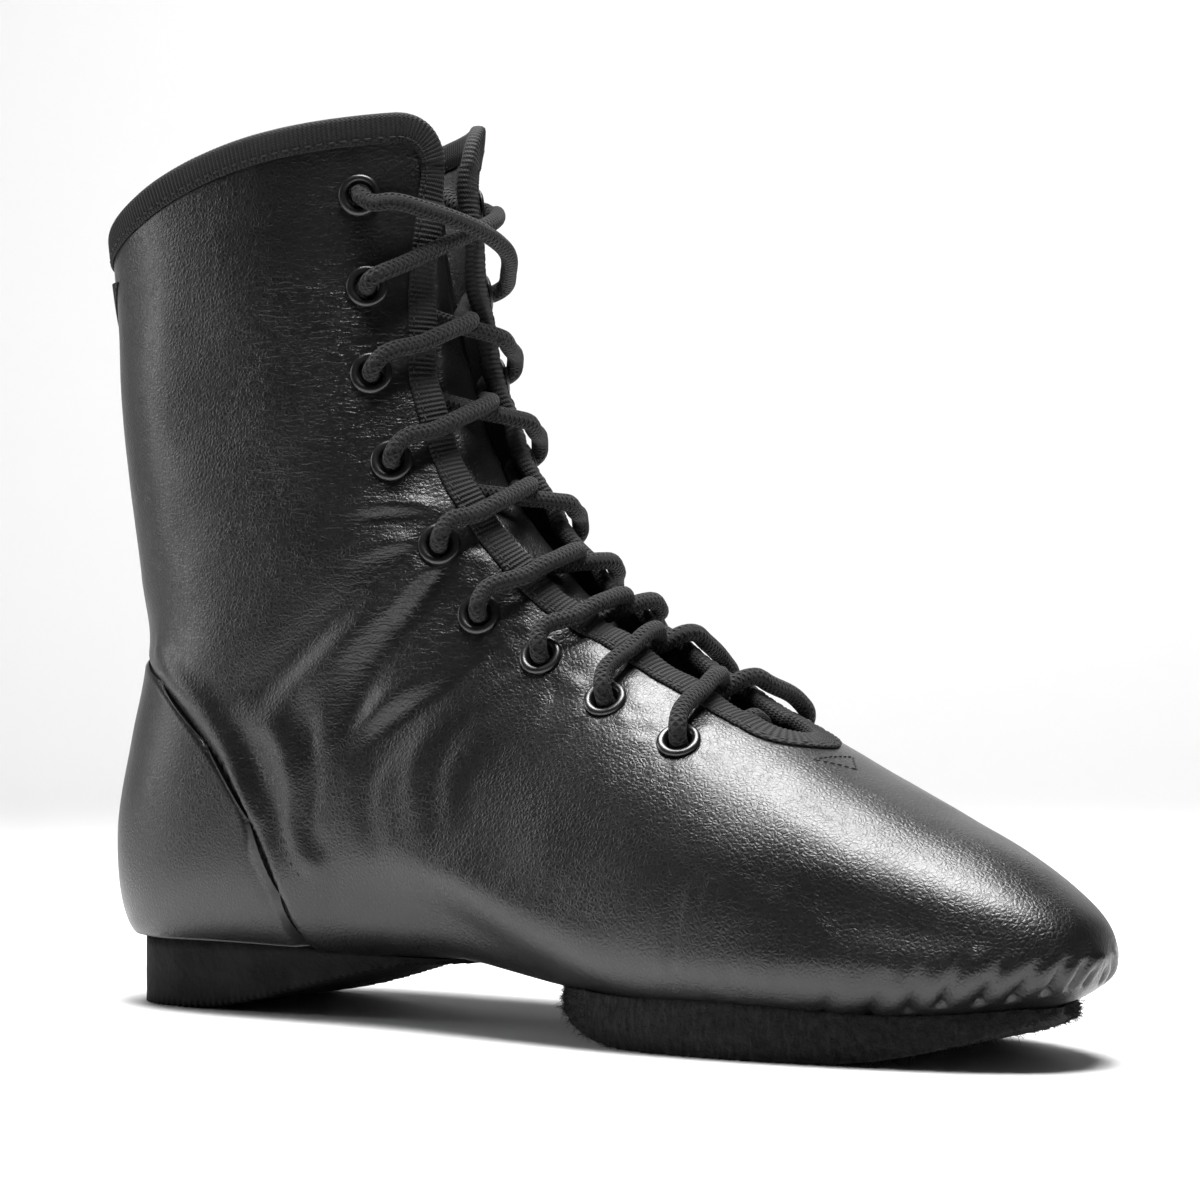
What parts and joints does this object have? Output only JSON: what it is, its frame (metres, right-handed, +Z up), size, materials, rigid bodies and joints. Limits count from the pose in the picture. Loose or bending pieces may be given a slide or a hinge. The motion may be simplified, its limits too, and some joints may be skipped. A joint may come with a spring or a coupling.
{
  "type": "dance boot",
  "caption": "Soft black leather lace-up ankle boot for dance, left foot, with a split sole: rubber heel pad and suede forefoot patch.",
  "frame": {"origin": "centre of the bounding box in plan, on the floor plane that heel pad and forefoot sole rest on", "axes": "+X from heel to toe, +Y to the outer side of the foot, +Z up"},
  "size_m": [0.2501, 0.0802, 0.1924],
  "materials": {
    "black_leather": "fine pebbled grain with a satin sheen",
    "counter_leather": "smooth satin",
    "lining_leather": "grained, matt",
    "woven_tape": "ribbed woven tape, matt",
    "stretch_fabric": "fine ribbed stretch fabric, matt",
    "pad_rubber": "matt moulded rubber with fine cross ribs",
    "sole_suede": "rough suede",
    "black_enamel": "black enamel, semi-gloss",
    "lace_cord": "round braided cord, matt"
  },
  "bodies": {
    "root": {"back_gore": "stretch_fabric", "edge_binding": "woven_tape", "eyelet_far_1": "black_enamel", "eyelet_far_2": "black_enamel", "eyelet_far_3": "black_enamel", "eyelet_far_4": "black_enamel", "eyelet_far_5": "black_enamel", "eyelet_far_6": "black_enamel", "eyelet_far_7": "black_enamel", "eyelet_far_8": "black_enamel", "eyelet_far_9": "black_enamel", "eyelet_near_1": "black_enamel", "eyelet_near_2": "black_enamel", "eyelet_near_3": "black_enamel", "eyelet_near_4": "black_enamel", "eyelet_near_5": "black_enamel", "eyelet_near_6": "black_enamel", "eyelet_near_7": "black_enamel", "eyelet_near_8": "black_enamel", "eyelet_near_9": "black_enamel", "forefoot_sole": "sole_suede", "heel_counter": "counter_leather", "heel_pad": "pad_rubber", "insole": "lining_leather", "lace_bar": "lace_cord", "lace_crossing_1": "lace_cord", "lace_crossing_2": "lace_cord", "lace_crossing_3": "lace_cord", "lace_crossing_4": "lace_cord", "lace_crossing_5": "lace_cord", "lace_crossing_6": "lace_cord", "lace_crossing_7": "lace_cord", "lace_crossing_8": "lace_cord", "tongue": "lining_leather", "upper": "black_leather"}
  },
  "joints": []
}
